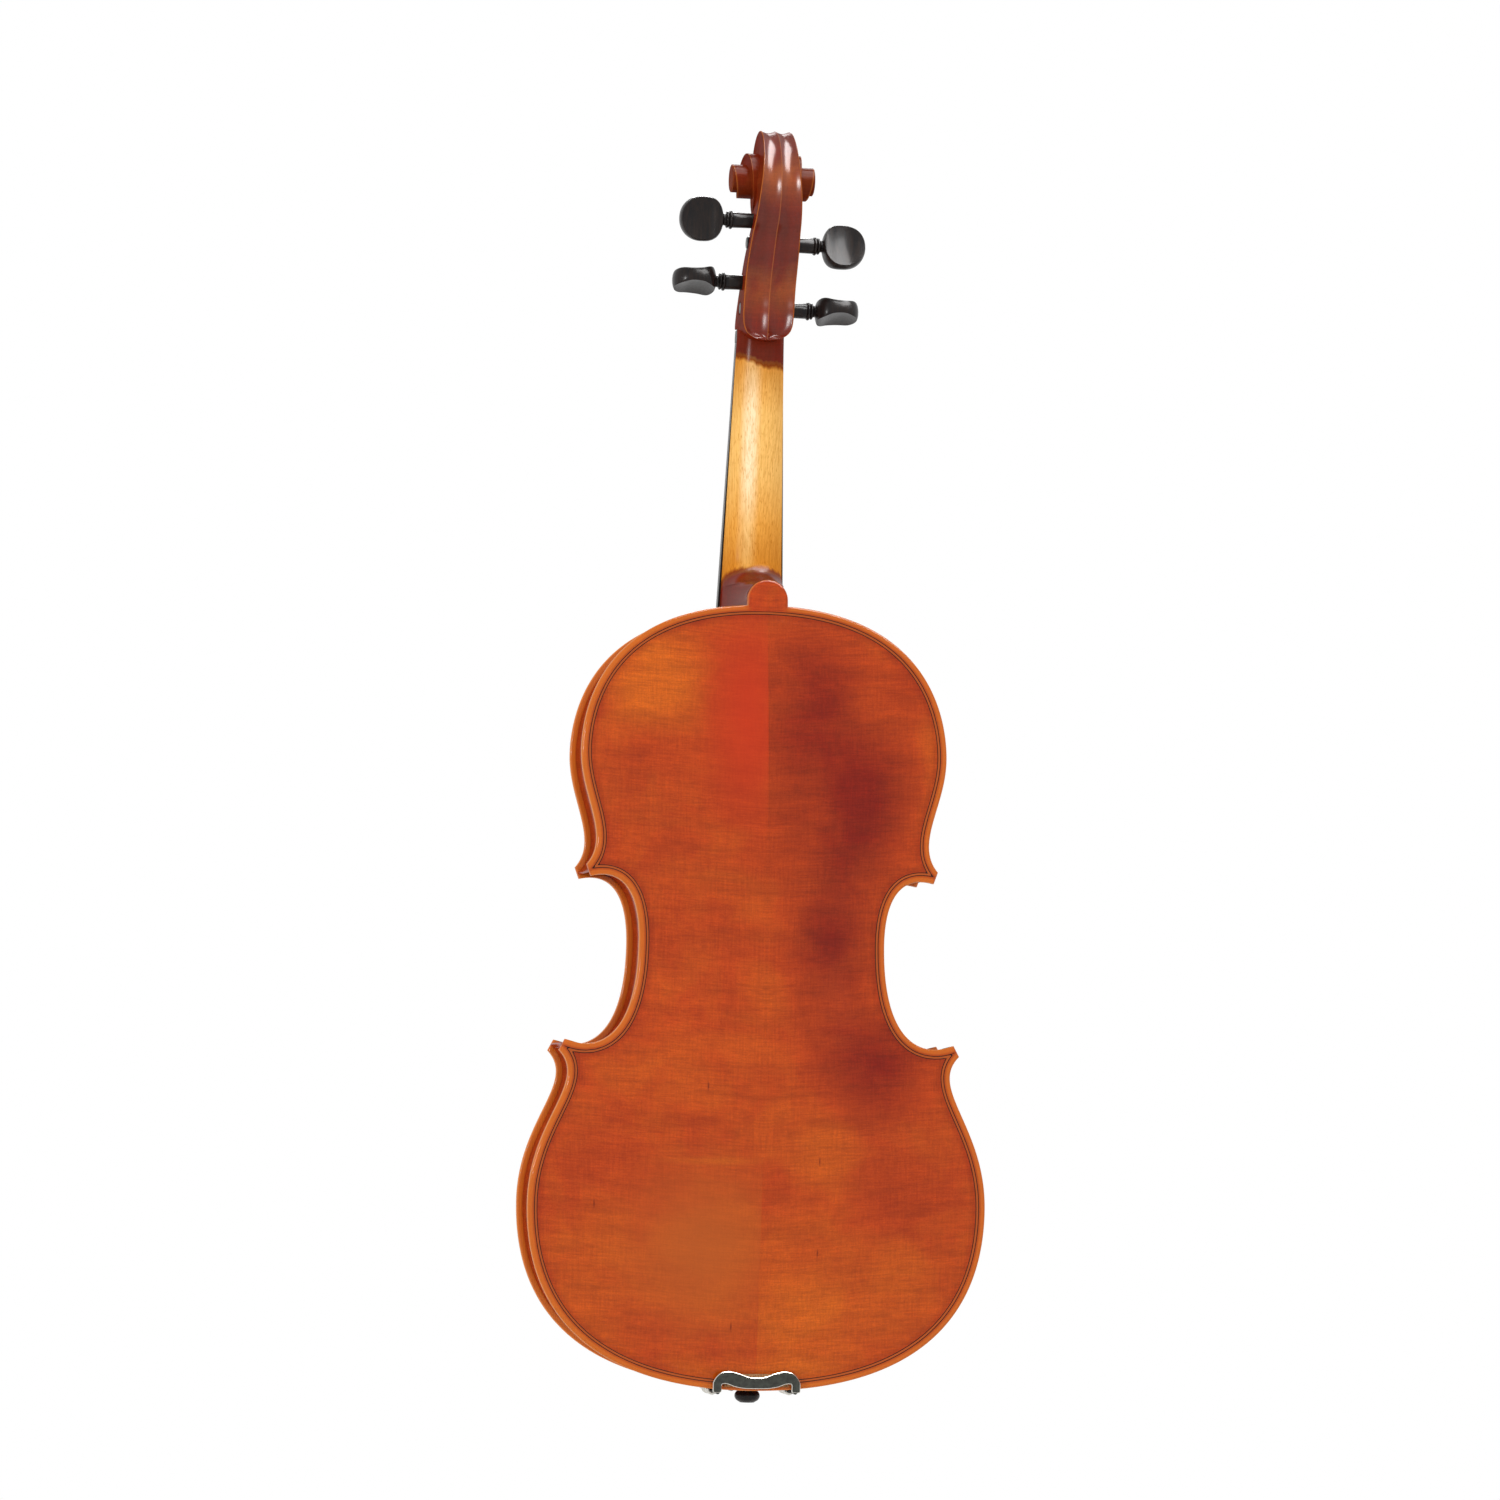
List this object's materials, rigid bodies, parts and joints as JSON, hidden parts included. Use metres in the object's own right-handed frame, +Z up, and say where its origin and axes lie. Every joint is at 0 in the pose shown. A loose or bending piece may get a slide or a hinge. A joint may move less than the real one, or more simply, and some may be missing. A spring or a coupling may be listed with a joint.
{
  "type": "viola",
  "caption": "Viola hanging by its neck: carved body with sound holes, neck with pegbox and scroll, turning pegs, strings, bridge, tailpiece with fine tuners, and a clamped chinrest.",
  "frame": {"origin": "where a hanger's fork holds the neck, just below the pegbox, on the centre plane and at half the neck's depth", "axes": "+Z up along the body towards the scroll, -Y out of the top on the strings' side, +Y out of the back, +X the treble side"},
  "size_m": [0.2402, 0.1178, 0.6634],
  "materials": {
    "varnished_maple": "flamed, red-brown varnish, gloss",
    "varnished_spruce": "straight grain, orange-brown varnish, gloss",
    "bare_spruce": "unvarnished",
    "bridge_maple": "unvarnished, fine pores",
    "ebony": "satin",
    "cork": "matt",
    "black_composite": "satin",
    "black_nylon": "matt",
    "brass": "turned",
    "string_metal": "flat wound",
    "nickelled_steel": "nickel plated",
    "dark_steel": "dark plate"
  },
  "bodies": {
    "instrument": {"back_bass_half": "varnished_maple", "back_treble_half": "varnished_maple", "bass_bar": "bare_spruce", "bridge": "bridge_maple", "chinrest": "ebony", "chinrest_cork_bass": "cork", "chinrest_cork_treble": "cork", "clamp_hook_bass": "nickelled_steel", "clamp_hook_treble": "nickelled_steel", "corner_block_lower_bass": "bare_spruce", "corner_block_lower_treble": "bare_spruce", "corner_block_upper_bass": "bare_spruce", "corner_block_upper_treble": "bare_spruce", "end_block": "bare_spruce", "end_button": "ebony", "fingerboard": "ebony", "neck": "varnished_maple", "neck_block": "bare_spruce", "nut": "ebony", "rib_lower_bass": "varnished_maple", "rib_lower_treble": "varnished_maple", "rib_upper_bass": "varnished_maple", "rib_upper_treble": "varnished_maple", "rib_waist_bass": "varnished_maple", "rib_waist_treble": "varnished_maple", "saddle": "ebony", "sound_post": "bare_spruce", "string_a": "string_metal", "string_c": "string_metal", "string_d": "string_metal", "string_g": "string_metal", "tail_gut": "black_nylon", "tailpiece": "black_composite", "top_bass_half": "varnished_spruce", "top_treble_half": "varnished_spruce", "tuner_axle": "nickelled_steel"},
    "peg_c_body": {"peg_c": "ebony"},
    "tuner_c_screw": {"tuner_screw_c": "nickelled_steel"},
    "tuner_c_lever": {"tuner_lever_c": "nickelled_steel", "string_ball_c": "brass"},
    "peg_g_body": {"peg_g": "ebony"},
    "tuner_g_screw": {"tuner_screw_g": "nickelled_steel"},
    "tuner_g_lever": {"tuner_lever_g": "nickelled_steel", "string_ball_g": "brass"},
    "peg_d_body": {"peg_d": "ebony"},
    "tuner_d_screw": {"tuner_screw_d": "nickelled_steel"},
    "tuner_d_lever": {"tuner_lever_d": "nickelled_steel", "string_ball_d": "brass"},
    "peg_a_body": {"peg_a": "ebony"},
    "tuner_a_screw": {"tuner_screw_a": "nickelled_steel"},
    "tuner_a_lever": {"tuner_lever_a": "nickelled_steel", "string_ball_a": "brass"},
    "clamp_lower": {"clamp_foot": "dark_steel", "clamp_cork": "cork"},
    "barrel_bass": {"clamp_barrel_bass": "nickelled_steel"},
    "barrel_treble": {"clamp_barrel_treble": "nickelled_steel"}
  },
  "joints": [
    {"name": "peg_c_turn", "type": "hinge", "parent": "instrument", "child": "peg_c_body", "pos_m": [0, 0.00664, 0.0223], "axis": [1, 0, 0], "continuous": true},
    {"name": "peg_g_turn", "type": "hinge", "parent": "instrument", "child": "peg_g_body", "pos_m": [0, 0.02244, 0.0543], "axis": [1, 0, 0], "continuous": true},
    {"name": "peg_d_turn", "type": "hinge", "parent": "instrument", "child": "peg_d_body", "pos_m": [0, 0.02964, 0.0648], "axis": [1, 0, 0], "continuous": true},
    {"name": "peg_a_turn", "type": "hinge", "parent": "instrument", "child": "peg_a_body", "pos_m": [0, 0.01084, 0.0353], "axis": [1, 0, 0], "continuous": true},
    {"name": "tuner_c_thread", "type": "slide", "parent": "instrument", "child": "tuner_c_screw", "axis": [0, 0.9799, 0.1994], "range_m": [0, 0.004]},
    {"name": "tuner_c_pivot", "type": "hinge", "parent": "instrument", "child": "tuner_c_lever", "pos_m": [-0.0165, -0.03932, -0.42615], "axis": [1, 0, 0], "range_deg": [0, 12.8]},
    {"name": "tuner_g_thread", "type": "slide", "parent": "instrument", "child": "tuner_g_screw", "axis": [0, 0.9799, 0.1994], "range_m": [0, 0.004]},
    {"name": "tuner_g_pivot", "type": "hinge", "parent": "instrument", "child": "tuner_g_lever", "pos_m": [-0.0055, -0.03932, -0.42615], "axis": [1, 0, 0], "range_deg": [0, 12.8]},
    {"name": "tuner_d_thread", "type": "slide", "parent": "instrument", "child": "tuner_d_screw", "axis": [0, 0.9799, 0.1994], "range_m": [0, 0.004]},
    {"name": "tuner_d_pivot", "type": "hinge", "parent": "instrument", "child": "tuner_d_lever", "pos_m": [0.0055, -0.03932, -0.42615], "axis": [1, 0, 0], "range_deg": [0, 12.8]},
    {"name": "tuner_a_thread", "type": "slide", "parent": "instrument", "child": "tuner_a_screw", "axis": [0, 0.9799, 0.1994], "range_m": [0, 0.004]},
    {"name": "tuner_a_pivot", "type": "hinge", "parent": "instrument", "child": "tuner_a_lever", "pos_m": [0.0165, -0.03932, -0.42615], "axis": [1, 0, 0], "range_deg": [0, 12.8]},
    {"name": "clamp_open", "type": "slide", "parent": "instrument", "child": "clamp_lower", "axis": [0, 1, 0], "range_m": [0, 0.003]},
    {"name": "barrel_bass_turn", "type": "hinge", "parent": "instrument", "child": "barrel_bass", "pos_m": [-0.02025, 0.00818, -0.54325], "axis": [0, 1, 0], "range_deg": [0, 361]},
    {"name": "barrel_treble_turn", "type": "hinge", "parent": "instrument", "child": "barrel_treble", "pos_m": [0.02025, 0.00818, -0.54325], "axis": [0, 1, 0], "range_deg": [0, 361]}
  ],
  "couplings": [
    {"joint": "tuner_c_pivot", "follows": "tuner_c_thread", "rad_per_m": 55.556},
    {"joint": "tuner_g_pivot", "follows": "tuner_g_thread", "rad_per_m": 55.556},
    {"joint": "tuner_d_pivot", "follows": "tuner_d_thread", "rad_per_m": 55.556},
    {"joint": "tuner_a_pivot", "follows": "tuner_a_thread", "rad_per_m": 55.556},
    {"joint": "barrel_bass_turn", "follows": "clamp_open", "rad_per_m": 2094.4},
    {"joint": "barrel_treble_turn", "follows": "clamp_open", "rad_per_m": 2094.4}
  ]
}
